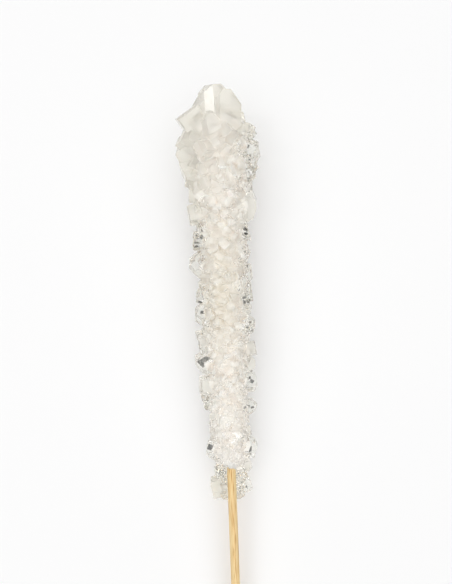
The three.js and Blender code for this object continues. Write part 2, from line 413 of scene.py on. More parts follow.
@dataclass(frozen=True)
class Follower:
    """What grows on or in larger crystals."""

    first: int  # the number of the first one, which seeds the draws
    least: float  # the width of the narrowest crystal that bears them, in mm
    each: int = 1  # how many a crystal bears

    def number(self, bearers: Crystals) -> int | np.ndarray:
        """Gives how many each crystal bears."""
        return self.each

    def owners(self, crystals: Crystals, kinds: int) -> tuple[Crystals, np.ndarray]:
        """Finds what bears each of them.

        Args:
            crystals: The crystals that may bear them.
            kinds: How many draws each of them gets.

        Returns:
            The crystal that bears it and its draws, for each of them.
        """
        bearers = crystals.pick(crystals.size[:, 1] >= self.least)
        owner = bearers.pick(np.repeat(np.arange(len(bearers)), self.number(bearers)))
        return owner, draws(self.first, len(owner), kinds)


@dataclass(frozen=True)
class Terraces(Follower):
    """Smaller crystals that have grown on larger ones the same way up, so that their faces rise in steps."""

    first: int = 5000
    least: float = 4.2
    each: int = 3
    part: Pair = (0.3, 0.7)  # their size, as parts of the crystal's own
    proud: Pair = (0.05, 0.3)  # how far they stand out of its faces, in mm

    def grow(self, crystals: Crystals) -> Crystals:
        """Places the steps.

        A step keeps its crystal's ways. On each of them it lies so far to one side that its face stands proud
        of the crystal's own, except that half of them lie anywhere along its length.

        Args:
            crystals: The crystals that may bear steps.

        Returns:
            The steps alone.
        """
        owner, roll = self.owners(crystals, 9)
        size = owner.size * between(self.part, roll[:, :3])
        side = np.where(roll[:, 3:6] < 0.5, -1.0, 1.0)
        offset = side * ((owner.size - size) / 2 + between(self.proud, roll[:, 6:7]))
        offset[:, :1] *= np.where(roll[:, 7:8] < 0.5, 1.0, between((-1, 1), roll[:, 8:9]))
        return Crystals(owner.inside(offset[:, [1, 0, 2]]), owner.basis, size, owner.habit)


@dataclass(frozen=True)
class Crust(Follower):
    """Small crystals that have settled any way up on the faces of larger ones.

    Pairs are the least and the most, and lengths without a unit are parts of the small crystal's own width.
    """

    first: int = 9000
    least: float = 4.4
    room: float = 40.0  # the area of face that each has to itself, in square mm
    width: Pair = (1.8, 3.8)  # in mm
    length: float = 1.3
    depth: Pair = (0.7, 1.0)
    sunk: Pair = (0.48, 0.64)  # how far its middle lies under the face
    inset: float = 0.3  # how far its middle keeps from the face's edges
    habit: tuple[Pair, ...] = ((0.2, 0.6), (0.1, 0.5), (0.2, 0.7))  # cut, flat and slope, as in Habit

    def faces(self, crystals: Crystals) -> np.ndarray:
        """Gives the area of each crystal's faces across its width, its length and its thickness."""
        length, width, thickness = crystals.size.T
        return rows(length * thickness, width * thickness, width * length) * 2

    def number(self, bearers: Crystals) -> np.ndarray:
        """Gives how many each crystal bears, by the area of its faces."""
        return (self.faces(bearers).sum(axis=1) / self.room).astype(int)

    def grow(self, crystals: Crystals) -> Crystals:
        """Scatters the small crystals.

        Each is given one of three pairs of faces by their area, a side of it and a place on it. Its ways come
        from three turns about x, y and z, and its slope goes by the first draw of its place.

        Args:
            crystals: The crystals that may bear a crust.

        Returns:
            The crust alone.
        """
        owner, roll = self.owners(crystals, 13)
        faces, every = self.faces(owner), np.arange(len(owner))
        wide = between(self.width, roll[:, 0])
        share = np.cumsum(faces, axis=1) / faces.sum(axis=1, keepdims=True)
        axis = (roll[:, 1:2] > share[:, :2]).sum(axis=1)
        half = owner.extents() / 2
        place = (roll[:, 2:5] * 2 - 1) * (half - wide[:, None] * self.inset)
        depth = half[every, axis] - wide * between(self.sunk, roll[:, 5])
        place[every, axis] = np.where(roll[:, 6] < 0.5, -1, 1) * depth
        size = rows(wide * self.length, wide, wide * between(self.depth, roll[:, 10]))
        habit = between(columns(self.habit), roll[:, [11, 12, 2]])
        return Crystals(owner.inside(place), any_way_up(roll[:, 7:10]), size, habit)


@dataclass(frozen=True)
class Roots(Follower):
    """The cloudy roots of larger crystals, which grew fastest at first and clearer later."""

    first: int = 6000
    least: float = 4.0
    part: Pair = (0.5, 0.8)  # their size, as a part of the crystal's own
    below: Pair = (1.8, 4.2)  # how far their tip lies below the crystal's, in mm

    def grow(self, crystals: Crystals) -> Crystals:
        """Places the roots, each with its crystal's ways and on its length.

        Args:
            crystals: The crystals that may have roots.

        Returns:
            The roots.
        """
        owner, roll = self.owners(crystals, 2)
        size = owner.size * between(self.part, roll[:, :1])
        sunk = (owner.size[:, 0] - size[:, 0]) / 2 - between(self.below, roll[:, 1])
        return Crystals(owner.middle + owner.basis[:, 1] * sunk[:, None], owner.basis, size, owner.habit)


@dataclass(frozen=True)
class Flaws(Follower):
    """Thin flat hollows inside larger crystals, where two stages of growth haven't met."""

    first: int = 4000
    least: float = 3.0
    each: int = 4
    size: Pair = (0.6, 2.0)  # their length and width, in mm
    thickness: float = 0.1  # their thickness, in mm
    spread: float = 0.75  # how far from the crystal's middle they lie, as a part of its half size
    lean: Pair = (37.0, 47.0)  # how far their faces lean from level, in degrees
    swing: Pair = (-70.0, 70.0)  # how far the lean turns from the way that the crystal points, in degrees
    habit: Triple = (0.3, 1.0, 0.0)  # cut, flat and slope, as in Habit

    def flat(self, middle: np.ndarray, size: np.ndarray, lean: np.ndarray, heading: np.ndarray) -> Crystals:
        """Makes flat crystals whose faces lean from level.

        Args:
            middle: Their middles, in mm.
            size: Their length and width, in mm.
            lean: How far the face leans, in degrees.
            heading: The way that it leans, in degrees: 0 is right and 90 is towards the thick end.

        Returns:
            The flat crystals.
        """
        lean, heading = np.radians(lean)[:, None], np.radians(heading)[:, None]
        level = np.concatenate([np.cos(heading), np.sin(heading), np.zeros_like(heading)], axis=1)
        up = np.array([0.0, 0.0, 1.0])
        face = level * np.sin(lean) + up * np.cos(lean)
        way = level * np.cos(lean) - up * np.sin(lean)
        basis = np.stack([np.cross(way, face), way, face], axis=1)
        every = np.ones((len(middle), 1))
        return Crystals(middle, basis, np.hstack([size, every * self.thickness]), every * self.habit)

    def grow(self, crystals: Crystals) -> Crystals:
        """Scatters the hollows, each leaning the way its crystal points, give or take the swing.

        Args:
            crystals: The crystals that may have hollows.

        Returns:
            The hollows, as flat crystals.
        """
        owner, roll = self.owners(crystals, 7)
        place = (roll[:, :3] * 2 - 1) * self.spread * owner.extents() / 2
        pointing = np.degrees(np.arctan2(owner.basis[:, 1, 1], owner.basis[:, 1, 0]))
        return self.flat(
            middle=owner.inside(place),
            size=between(self.size, roll[:, 3:5]),
            lean=between(self.lean, roll[:, 5]),
            heading=pointing + between(self.swing, roll[:, 6]),
        )


# What the sugar is like at places along the stick, from its lower end up: the place, the radius there and the
# width of the small crystals there, in mm. First the heart of the mass, and then its cloudy part, which is a
# little smaller and ends in a round head below the clear thick end.
HEART = (
    (0.4, 3, 2.2), (9, 3.9, 2.4), (18, 5, 2.6), (36, 5.6, 2.8), (60, 6.6, 3.2),
    (95, 6.8, 3.6), (112, 9.2, 4.6), (122, 9.4, 5.4), (131, 6.5, 5.4), (135, 3, 5),
)  # fmt: skip
CLOUD = (
    (11, 2, 1.6), (14, 3, 1.8), (20, 4.2, 2), (36, 4.9, 2.2), (60, 5.8, 2.4),
    (95, 6, 2.6), (108, 7.4, 3), (118, 6.8, 3), (125, 4.4, 2.6), (130, 2, 2.2),
)  # fmt: skip


@dataclass(frozen=True)
class Heart:
    """The heart of the mass, from which the crystals stand out."""

    stations: tuple[Triple, ...] = HEART  # rows of place, radius and crystal width, straight in between
    sides: int = 12
    rings: int = 14
    lump: float = 0.06  # how much its radius wanders

    def at(self, along: float | np.ndarray) -> list[np.ndarray]:
        """Gives the radius and the small crystals' width at places along the stick."""
        places, *values = zip(*self.stations)
        return [np.interp(along, places, value) for value in values]

    def surface(self) -> Surface:
        """Turns the heart's outline about the stick, each radius times a draw from 1 - lump to 1 + lump.

        Returns:
            The points, in mm in the stick's frame, and the triangles.
        """
        share = np.arange(self.rings + 1) / self.rings
        along = between((self.stations[0][0], self.stations[-1][0]), share)
        lump = between((1 - self.lump, 1 + self.lump), draws(0, self.rings + 1, 1)[:, 0])
        return lathe(rows(self.at(along)[0] * lump, along), self.sides)


@dataclass(frozen=True)
class Growth:
    """A layer of small crystals on a spiral round the heart.

    Pairs are the least and the most, and lengths without a unit are parts of the small crystal's own width.
    """

    start: float = 12  # where the layer starts along the stick, in mm
    stop: float = 124
    first: int = 0  # the number of its first crystal, which seeds its draws
    scale: float = 1  # the typical width, as a part of the one that the heart gives
    share: float = 1.35  # the area each has to itself, as a part of the square of the typical width
    width: Pair = (0.8, 1.3)  # the width, as a part of the typical one
    length: float = 1.6
    depth: Pair = (0.7, 1.05)
    stand: Pair = (0.18, 0.42)  # how far the tip stands out of the heart
    tilt: Pair = (-35, 35)  # pitch and yaw, in degrees
    habit: tuple[Pair, ...] = ((0.25, 0.6), (0.1, 0.5), (0.2, 0.7))  # cut, flat and slope, as in Habit
    turn: float = 137.508  # from one crystal to the next, in degrees

    def grow(self, heart: Heart) -> Crystals:
        """Places the layer's crystals.

        Each step along the stick is the area of one crystal over the heart's girth there. A layer whose first
        number is 0 has the draws of the part's own solid.

        Args:
            heart: What they grow on.

        Returns:
            The crystals.
        """
        places = [self.start]
        while places[-1] < self.stop:
            radius, typical = heart.at(places[-1])
            places.append(places[-1] + self.share * (self.scale * typical) ** 2 / (2 * math.pi * radius))
        along = np.array(places[:-1])
        radius, typical = heart.at(along)
        roll = draws(self.first, len(along), 9)
        width = typical * self.scale * between(self.width, roll[:, 0])
        reach = radius + width * between(self.stand, roll[:, 4])
        size = rows(width * self.length, width, width * between(self.depth, roll[:, 1]))
        turns = *between(self.tilt, roll[:, 5:7]).T, 360 * roll[:, 7]
        habit = between(columns(self.habit), roll[:, [2, 8, 3]])
        return Crystals.standing((along, np.arange(len(along)) * self.turn, reach), size, turns, habit)


SLAB, BLOCK, BLUNT, WEDGE, CHISEL, PRISM = Form

# The leading crystals, which give the mass its outline: along, around, reach, (length, width, thickness),
# pitch, spin and form, in mm and degrees.
LEADERS = (
    # the thick end
    (141, 114, 3.7, (20, 8, 8), 87, 47, PRISM),
    (139.4, 55, 4.3, (17, 10, 10), 84, -25, CHISEL),
    (132.4, 166, 11.2, (14, 8.8, 7.6), 55, -8, SLAB),
    (127, 70, 9.3, (13, 8.6, 11.4), 57, 10, WEDGE),
    (138.8, 150, 3.6, (18, 8, 9), 88, 90, CHISEL),
    (131.8, 112, 8, (13, 6, 6.4), 72, 24, CHISEL),
    (119.6, 178, 14.6, (12, 9, 10), 14, 66, WEDGE),
    (113.4, 182, 13.6, (11, 8.6, 10), -6, 112, BLUNT),
    (124.4, 160, 13.2, (10, 7, 7), 34, 30, BLOCK),
    (118.6, 2, 13.5, (12, 9, 10.6), 8, 68, WEDGE),
    (112.6, 358, 11.8, (10, 8, 9), -8, 110, BLUNT),
    (127.5, 16, 9.8, (12, 8, 9), 48, 70, BLOCK),
    (131, 300, 9.6, (14, 10, 10), 42, 75, WEDGE),
    (132, 226, 8.8, (14, 10, 9), 46, 30, BLOCK),
    # the left side, going down
    (108.6, 174, 12.1, (6, 3.2, 3.4), 12, 45, BLOCK),
    (104.6, 180, 11, (8, 6, 6.4), -4, 70, BLOCK),
    (97, 178, 11.4, (8, 5.8, 5), -8, 22, SLAB),
    (88.2, 184, 10, (7, 5.4, 5.4), 4, 36, BLOCK),
    (81, 178, 11.7, (9, 6, 9.6), 6, 62, WEDGE),
    (70, 176, 9.6, (7, 4.6, 4.8), 10, 45, BLOCK),
    (64, 182, 10.3, (8, 6, 7.4), -4, 64, WEDGE),
    (53.8, 178, 9.6, (8, 6, 6), -10, -18, SLAB),
    (48.2, 172, 11, (10, 6, 6.6), 14, 66, WEDGE),
    (39.4, 168, 9.8, (10, 5.6, 5.4), -2, -14, SLAB),
    (33.2, 184, 8.6, (6, 4.6, 4.4), -14, 40, BLOCK),
    (21.8, 178, 6.6, (5, 3, 3), 4, 45, BLOCK),
    (17.6, 182, 8.2, (6, 5, 5.8), 0, 70, BLUNT),
    (9.4, 172, 5.6, (4.6, 4, 3.6), -6, -8, SLAB),
    (4.4, 184, 6.9, (7, 5, 6.4), -12, 70, SLAB),
    # the right side, going down
    (100.4, 2, 11.9, (8, 7, 9.2), 0, 108, BLUNT),
    (90.4, 8, 9.2, (6, 4.6, 4.4), 12, 40, BLOCK),
    (84.6, 356, 8.3, (6, 5, 4.4), -6, 65, BLOCK),
    (77.4, 14, 9.6, (7, 5.2, 3), 2, 16, SLAB),
    (70.6, 358, 9.2, (7, 6.2, 5), 6, 20, BLOCK),
    (65, 10, 8.6, (6, 4.4, 4.4), -4, 50, BLOCK),
    (59.4, 4, 9.9, (7, 5, 5), -8, 60, WEDGE),
    (51.4, 2, 9.9, (7, 4.6, 4.4), 8, -8, SLAB),
    (45.6, 356, 9.3, (7, 5.6, 6), 0, 75, BLOCK),
    (39.8, 4, 9.9, (8, 5, 6.2), -4, 70, BLUNT),
    (31, 0, 9.2, (8, 4.4, 4.8), -14, 106, WEDGE),
    (23.4, 5, 7.3, (5, 3.6, 3.6), 4, 60, BLOCK),
    (17.6, 358, 9, (7, 5, 5.8), -4, 68, BLUNT),
    (11.8, 4, 7, (5, 4, 4.6), 0, 80, BLOCK),
    (4.2, 354, 6.9, (7, 4.4, 4.8), -20, 104, WEDGE),
    # the underside, where the mass rests
    (118, 248, 13.8, (12, 10, 9), 0, 20, BLOCK),
    (115, 291, 13.6, (12, 10, 9), -4, 60, BLOCK),
    (19, 262, 8.8, (7, 6, 5), 2, 15, BLOCK),
    (24, 283, 8.6, (7, 6, 5), -2, 55, BLOCK),
    (5, 268, 5.6, (5, 6, 5), -10, 25, SLAB),
)
THICK_END = 6  # the first of them are those of the thick end, which have neither steps nor flaws
SHOULDERS_END = 12  # and those up to here, with the shoulders, have no cloudy roots
ROUGH = slice(9, 12)  # those that bear a crust

# Thin gaps between neighbouring crystals: across, along, height, (length, width), lean and heading, in mm and
# degrees.
GAPS = (
    (-4.6, 8.4, 1.8, (3.6, 2.4), 41, 185),
    (-3.6, 9.2, 2.2, (3, 2.4), 39, 165),
    (8.8, 122.4, 2.6, (2, 1.2), 41, 45),
    (9.4, 119.4, 2.2, (1.8, 1.2), 38, -20),
    (11.2, 121, 1.6, (1.6, 1.2), 40, 10),
    (10.2, 115.6, 1.8, (2.2, 1.3), 44, 40),
    (10.6, 111.5, 1.4, (2.4, 1.5), 43, 0),
    (9.3, 108, 1.4, (2.6, 1.4), 38, -15),
    (-7.9, 100, 1.6, (3.8, 3.3), 43, 175),
    (-7.8, 90, 1.6, (3.4, 2.2), 41, 185),
    (-8.8, 87, 1, (2.4, 1.2), 42, 175),
    (-8, 67.4, 1.2, (3, 2.2), 47, 185),
    (-7.8, 64.4, 1.4, (1.8, 1.1), 38, 165),
    (-8.4, 49, 1.4, (5.5, 4.8), 44, 220),
    (-7.2, 18.6, 1, (3, 2), 40, 155),
    (-4.4, 9.8, 1, (4.2, 3.9), 41, 175),
    (8.3, 91, 1.2, (4.5, 3.9), 38, 5),
    (6.9, 68.6, 1.4, (5, 3), 41, -10),
    (7.4, 67.6, 2.2, (4, 3), 43, 5),
    (6.8, 58.8, 1.4, (5.5, 3), 52, -10),
    (7.2, 58.6, 2, (4, 2.6), 42, 10),
    (7.8, 57.6, 0.8, (3, 2.4), 50, 30),
    (6.9, 41, 1, (2.2, 1.1), 43, 0),
    (6, 16.8, 1, (2.8, 2), 43, 0),
    (3.6, 6, 2, (2, 1.4), 41, 0),
    (4.4, 4.2, 1.6, (2, 1.2), 40, 15),
)
GAP_THICKNESS = 0.22


def thin_gaps() -> Crystals:
    """Turns the list of gaps into flat crystals, which are cut away."""
    across, along, height, size, lean, heading = columns(GAPS)
    return Flaws(thickness=GAP_THICKNESS).flat(rows(across, along, height), size, lean, heading)


def leading_crystals() -> Crystals:
    """Turns the list of leading crystals into arrays."""
    *tips, size, pitch, spin, habit = columns([(*row, astuple(form.value)) for *row, form in LEADERS])
    return Crystals.standing(tips, size, (pitch, np.zeros(len(pitch)), spin), habit)


# ---- growing crystals together ----


@dataclass(frozen=True)
class Fusion:
    """Joins crystals, each of which overlaps its neighbours, into one closed surface.

    Crystals that lie clear of each other share an object, so that a few dozen objects hold them all, and one
    Boolean union joins those to the heart.
    """

    frame: StickFrame
    clearance: float = 1.05  # how far apart the middles of two crystals in one object are, in crystal sizes

    def batches(self, crystals: Crystals) -> list[np.ndarray]:
        """Sorts crystals into groups whose members lie clear of each other.

        Each crystal takes the first group that holds none of its neighbours.

        Args:
            crystals: The crystals.

        Returns:
            The numbers of each group's crystals.
        """
        span = np.linalg.norm(crystals.size, axis=1) * self.clearance
        distance = np.linalg.norm(crystals.middle[:, None] - crystals.middle, axis=-1)
        group = np.full(len(crystals), -1)
        for i, near in enumerate(distance < (span[:, None] + span) / 2):
            taken = set(group[near])
            group[i] = next(g for g in count() if g not in taken)
        return [np.flatnonzero(group == g) for g in range(group.max() + 1)]

    def objects(self, name: str, crystals: Crystals) -> list[Item]:
        """Makes an object of each group of crystals, left as they are.

        Args:
            name: The objects' name.
            crystals: The crystals.

        Returns:
            The objects.
        """
        items = []
        for which in self.batches(crystals):
            corners = self.frame.to_row(crystals.pick(which).corners().reshape(-1, 3))
            offsets = np.arange(len(which))[:, None, None] * 2 * RING
            items.append(solid(name, corners, (prism_faces() + offsets).reshape(-1, 3)))
        return items

    def join(self, piece: Item, crystals: Crystals, away: list[Item], hollows: Crystals | None) -> None:
        """Joins crystals to a piece and cuts other shapes away from it.

        Args:
            piece: The object that the crystals are joined to.
            crystals: The crystals.
            away: Closed shapes, which are cut away and then removed.
            hollows: Crystals that are cut away. Without any, the piece keeps no hollows.
        """
        thin = self.objects("hollow", hollows) if hollows else []
        joined = []
        for operation, items in (("UNION", self.objects("batch", crystals)), ("DIFFERENCE", away + thin)):
            collection = bpy.data.collections.new(operation)
            bpy.context.scene.collection.children.link(collection)
            for item in items:
                collection.objects.link(item)
            modifier = piece.modifiers.new(operation, "BOOLEAN")
            modifier.operation = operation
            modifier.operand_type = "COLLECTION"
            modifier.collection = collection
            modifier.solver = "MANIFOLD"
            joined.append(collection)
        apply_modifiers(piece)
        for collection in joined:
            for item in list(collection.objects):
                bpy.data.objects.remove(item)
            bpy.data.collections.remove(collection)
        drop_crumbs(piece, hollows_too=hollows is None)


def swap_mesh(piece: Item, mesh: bpy.types.Mesh) -> None:
    """Gives an object another mesh under the old one's name, and removes the old one.

    Args:
        piece: The object.
        mesh: Its new mesh.
    """
    old, piece.data = piece.data, mesh
    name = old.name
    bpy.data.meshes.remove(old)
    mesh.name = name


def apply_modifiers(piece: Item) -> None:
    """Gives an object the bare mesh that its modifiers make, and removes them.

    Args:
        piece: The object.
    """
    graph = bpy.context.evaluated_depsgraph_get()
    mesh = bpy.data.meshes.new_from_object(piece.evaluated_get(graph))
    mesh.materials.clear()
    mesh.shade_flat()
    piece.modifiers.clear()
    swap_mesh(piece, mesh)


def read_all(items: bpy.types.bpy_prop_collection, name: str, width: int, kind: type) -> np.ndarray:
    """Reads a property of all of a mesh's items into an array.

    Args:
        items: The mesh's corners, edges or triangles.
        name: The property.
        width: How many numbers it has.
        kind: Their type.

    Returns:
        An array with a row for each item.
    """
    values = np.empty(len(items) * width, kind)
    items.foreach_get(name, values)
    return values.reshape(-1, width)


def drop_crumbs(piece: Item, hollows_too: bool) -> None:
    """Keeps the largest connected surface, and drops loose crumbs and, if asked, the hollows in it.

    Every corner takes the lowest number among its neighbours until nothing changes, which names its surface.
    The sum of a . (b x c) over a surface's triangles is positive for a crumb and negative for a hollow.

    Args:
        piece: The object whose mesh is changed.
        hollows_too: Whether hollows are dropped too.
    """
    mesh = piece.data
    mesh.calc_loop_triangles()
    ends = read_all(mesh.edges, "vertices", 2, np.int32)
    points = read_all(mesh.vertices, "co", 3, np.float32)
    triangles = read_all(mesh.loop_triangles, "vertices", 3, np.int32)
    before, label = None, np.arange(len(points))
    while not np.array_equal(before, label):
        before, low = label, label[ends].min(axis=1)
        label = before.copy()
        for end in ends.T:
            np.minimum.at(label, end, low)
        label = label[label]
    a, b, c = (points[triangles[:, i]].astype(float) for i in range(3))
    content = np.bincount(label[triangles[:, 0]], np.einsum("ni,ni->n", a, np.cross(b, c)), len(label))
    keep = (label == content.argmax()) | ((content[label] < 0) & (not hollows_too))
    if keep.all():
        return
    number = np.cumsum(keep) - 1
    swap_mesh(piece, flat_mesh(piece.name, points[keep], number[triangles[keep[triangles[:, 0]]]]))
    log.info("%s: %d loose surfaces dropped", piece.name, len(np.unique(label[~keep])))


# ---- nodes ----


def linear(hex_colour: str) -> Colour:
    """Turns an sRGB colour into a linear one.

    Args:
        hex_colour: The colour, such as #f8f8f8.

    Returns:
        Red, green, blue and an alpha of 1.
    """
    parts = [int(hex_colour[i : i + 2], 16) / 255 for i in (1, 3, 5)]
    red, green, blue = (p / 12.92 if p <= 0.04045 else ((p + 0.055) / 1.055) ** 2.4 for p in parts)
    return red, green, blue, 1.0


def grey(level: float) -> Colour:
    """Gives a grey for a colour ramp that stands for a number."""
    return level, level, level, 1.0


def fill(node: Node, inputs: Inputs) -> None:
    """Sets some of a node's inputs.

    Args:
        node: The node.
        inputs: Socket name or number to a value, or to an output socket that is linked to it.
    """
    for name, value in inputs.items():
        if isinstance(value, Socket):
            node.id_data.links.new(value, node.inputs[name])
        else:
            node.inputs[name].default_value = value


def add_node(tree: Tree, kind: str, inputs: Inputs | None = None, **settings: str) -> Node:
    """Adds a node.

    Args:
        tree: The node tree to add to.
        kind: The node's type name, without ShaderNode.
        inputs: As in fill.
        settings: Properties of the node itself.

    Returns:
        The new node.
    """
    node = tree.nodes.new("ShaderNode" + kind)
    for name, value in settings.items():
        setattr(node, name, value)
    fill(node, inputs or {})
    return node


def maths(tree: Tree, operation: str, *numbers: Value) -> Socket:
    """Adds an operation on numbers and gives its result."""
    return add_node(tree, "Math", dict(enumerate(numbers)), operation=operation).outputs["Value"]


def rising(tree: Tree, length: Socket, low_mm: float, high_mm: float) -> Socket:
    """Adds a number that goes from 0 at one length to 1 at another, given in mm."""
    limits = {"Value": length, "From Min": low_mm * MM, "From Max": high_mm * MM}
    return add_node(tree, "MapRange", limits).outputs["Result"]


def blend(tree: Tree, share: Socket, first: Value, second: Value, colours: bool = False) -> Socket:
    """Adds what lies at a share of the way between two numbers or, if so said, two colours."""
    start, result, kind = (6, 2, "RGBA") if colours else (2, 0, "FLOAT")
    return add_node(tree, "Mix", {0: share, start: first, start + 1: second}, data_type=kind).outputs[result]


def noise(tree: Tree, vector: Socket, size_mm: float, detail: float, roughness: float = 0.5) -> Socket:
    """Adds a noise with features of a given size."""
    inputs = {"Vector": vector, "Scale": 1 / (size_mm * MM), "Detail": detail, "Roughness": roughness}
    return add_node(tree, "TexNoise", inputs).outputs["Fac"]


def relief(
    tree: Tree, height: Socket, strength: float, depth_mm: float, below: Inputs | None = None
) -> Socket:
    """Adds a relief, over another one if below holds its Normal."""
    inputs = {"Height": height, "Strength": strength, "Distance": depth_mm * MM, **(below or {})}
    return add_node(tree, "Bump", inputs).outputs["Normal"]


def ramp(tree: Tree, share: Socket, stops: list[tuple[float, Colour]]) -> Socket:
    """Adds a colour ramp.

    Args:
        tree: The node tree to add to.
        share: What it reads.
        stops: Position and linear colour of each stop, lowest first.

    Returns:
        Its colour.
    """
    node = add_node(tree, "ValToRGB", {"Fac": share})
    elements = node.color_ramp.elements
    while len(elements) < len(stops):
        elements.new(1.0)
    for element, (position, colour) in zip(elements, stops):
        element.position = position
        element.color = colour
    return node.outputs["Color"]


# ---- finishes ----


@dataclass(frozen=True)
class Finish:
    """What every finish has."""

    name: str
    roughness: float

    def start(self) -> tuple[bpy.types.Material, Tree, Node]:
        """Starts a material.

        Returns:
            The material, its node tree and its shader.
        """
        material = bpy.data.materials.new(self.name)
        material.use_nodes = True
        shader = material.node_tree.nodes["Principled BSDF"]
        fill(shader, {"Roughness": self.roughness})
        return material, material.node_tree, shader


@dataclass(frozen=True)
class ClearSugar(Finish):
    """Clear sugar crystal: colourless sucrose, grown slowly from syrup.

    It gives the eye flat faces that bend the light, a faint straw tint where it is thick, milky veils of
    trapped syrup near the stick, where it grew fastest, haze in places and in both ends, and faces that
    growth has left slightly rippled and streaked. How clear each part is goes from 0 to 1.
    """

    name: str = "clear_sugar_crystal"
    roughness: float = 0.03
    ior: float = 1.54
    tint: str = "#fafaf6"
    haze_tint: str = "#f3f1ea"
    end_tint: str = "#efece3"
    veil_tint: str = "#fefaf6"
    clearest: float = 0.98
    hazy: float = 0.7
    ends: float = 0.65
    veiled: float = 0.7
    shade: str = "#fefefd"  # the tint of light that goes straight through
    grain: float = 0.6  # how strong the finer parts of every noise are
    veils: Pair = (2.5, 5.0)  # the veils' size in mm, and how many finer sizes they have
    veil_depth_mm: float = 5.0  # how far they wander in and out, in all
    veils_mm: Pair = (4.5, 7.2)  # up to how far from the axis they are whole, and from where they are gone
    foot_mm: Pair = (14.0, 10.0)  # the same along the stick, going down
    # the clear stretches along the stick, on the left flank and on the right one
    clear_left: tuple[Pair, ...] = (
        (8.4, 21.0), (31.3, 35.7), (41.8, 51.3), (58.8, 72.8), (79.0, 94.5), (99.6, 103.0),
    )  # fmt: skip
    clear_right: tuple[Pair, ...] = (
        (1.0, 8.0), (15.0, 21.0), (28.6, 33.3), (37.4, 43.5), (55.4, 61.6), (66.0, 93.2), (105.4, 124.0),
    )  # fmt: skip
    soft_mm: float = 0.9  # how wide their borders are
    sway_mm: float = 3.0  # how far their borders sway, in all
    sway: Pair = (4.0, 2.0)  # the size of the sway and its finer sizes, as of the veils
    sides_mm: Pair = (1.0, 5.0)  # where, right of the axis, the left flank's give way to the right's
    # for each hazy end, its slant, as mm along for each mm across, and where it starts and is whole
    hazy_ends: tuple[Triple, ...] = ((-1.5, 104.0, 116.0), (0.8, 6.0, 4.5))
    length_mm: float = 141.0
    ripples: Pair = (0.9, 3.0)  # the same of the ripples
    ripple_relief: Pair = (0.25, 0.1)  # how strongly they show, and how deep they are in mm
    streak_mm: Triple = (5.0, 0.35, 1.5)  # the streaks' size in x, y and z
    streak_detail: float = 2.0
    streak_relief: Pair = (0.5, 0.04)

    def veil_free(self, tree: Tree, place: Socket, own: Sockets) -> Socket:
        """Adds a number that is 0 in the veils and 1 where there are none.

        It rises with the distance from the stick's axis, and in the foot. The veils carry the rise in and out
        by half their depth.

        Args:
            tree: The node tree to add to.
            place: The place in the row frame.
            own: The place's x, y and z in the stick's frame.

        Returns:
            The number.
        """
        flat = add_node(tree, "CombineXYZ", {"X": own["X"], "Z": own["Z"]}).outputs["Vector"]
        radius = add_node(tree, "VectorMath", {0: flat}, operation="LENGTH").outputs["Value"]
        veils = noise(tree, place, *self.veils, self.grain)
        wandering = maths(tree, "MULTIPLY_ADD", veils, self.veil_depth_mm * MM, radius)
        whole, gone = (radius_mm + self.veil_depth_mm / 2 for radius_mm in self.veils_mm)
        outside = rising(tree, wandering, whole, gone)
        return maths(tree, "MAXIMUM", outside, rising(tree, own["Y"], *self.foot_mm))

    def haze_free(self, tree: Tree, place: Socket, own: Sockets) -> Socket:
        """Adds a number that is 1 in each flank's clear stretches, whose borders sway, and 0 elsewhere.

        Args:
            tree: The node tree to add to.
            place: The place in the row frame.
            own: The place's x, y and z in the stick's frame.

        Returns:
            The number.
        """
        sway = noise(tree, place, *self.sway, self.grain)
        along = maths(tree, "MULTIPLY_ADD", sway, self.sway_mm * MM, own["Y"])
        share = maths(tree, "DIVIDE", along, self.length_mm * MM)
        flanks = []
        for stretches in (self.clear_left, self.clear_right):
            stops = [
                ((at + self.sway_mm / 2) / self.length_mm, grey(level))
                for low, high in stretches
                for at, level in ((low - self.soft_mm, 0), (low, 1), (high, 1), (high + self.soft_mm, 0))
            ]
            flanks.append(ramp(tree, share, stops))
        return blend(tree, rising(tree, own["X"], *self.sides_mm), *flanks)

    def in_ends(self, tree: Tree, own_place: Socket) -> Socket:
        """Adds a number that is 1 in both ends and 0 elsewhere.

        Args:
            tree: The node tree to add to.
            own_place: The place in the stick's frame.

        Returns:
            The number.
        """
        ends = []
        for slant, start, whole in self.hazy_ends:
            slanted = {0: own_place, 1: (slant, 1.0, 0.0)}
            along = add_node(tree, "VectorMath", slanted, operation="DOT_PRODUCT").outputs["Value"]
            ends.append(rising(tree, along, start, whole))
        return maths(tree, "MAXIMUM", *ends)

    def grown_faces(self, tree: Tree, place: Socket) -> Socket:
        """Adds the relief of the faces: streaks over ripples.

        Args:
            tree: The node tree to add to.
            place: The place in the row frame.

        Returns:
            The relief, as a normal.
        """
        ripples = relief(tree, noise(tree, place, *self.ripples, self.grain), *self.ripple_relief)
        finest = min(self.streak_mm)
        stretch = tuple(finest / size for size in self.streak_mm)
        lengthened = add_node(tree, "Mapping", {"Vector": place, "Scale": stretch}).outputs["Vector"]
        streaks = noise(tree, lengthened, finest, self.streak_detail, self.grain)
        return relief(tree, streaks, *self.streak_relief, {"Normal": ripples})

    def pass_lamps(self, tree: Tree) -> None:
        """Lets the lamps' light and the light between surfaces straight through, as real sugar would.

        Args:
            tree: The material's node tree.
        """
        path = add_node(tree, "LightPath").outputs
        way = add_node(tree, "BsdfTransparent", {"Color": linear(self.shade)}).outputs["BSDF"]
        shown = tree.nodes["Principled BSDF"].outputs["BSDF"]
        for ray in ("Is Diffuse Ray", "Is Shadow Ray"):
            shown = add_node(tree, "MixShader", {"Fac": path[ray], 1: shown, 2: way}).outputs["Shader"]
        tree.links.new(shown, tree.nodes["Material Output"].inputs["Surface"])

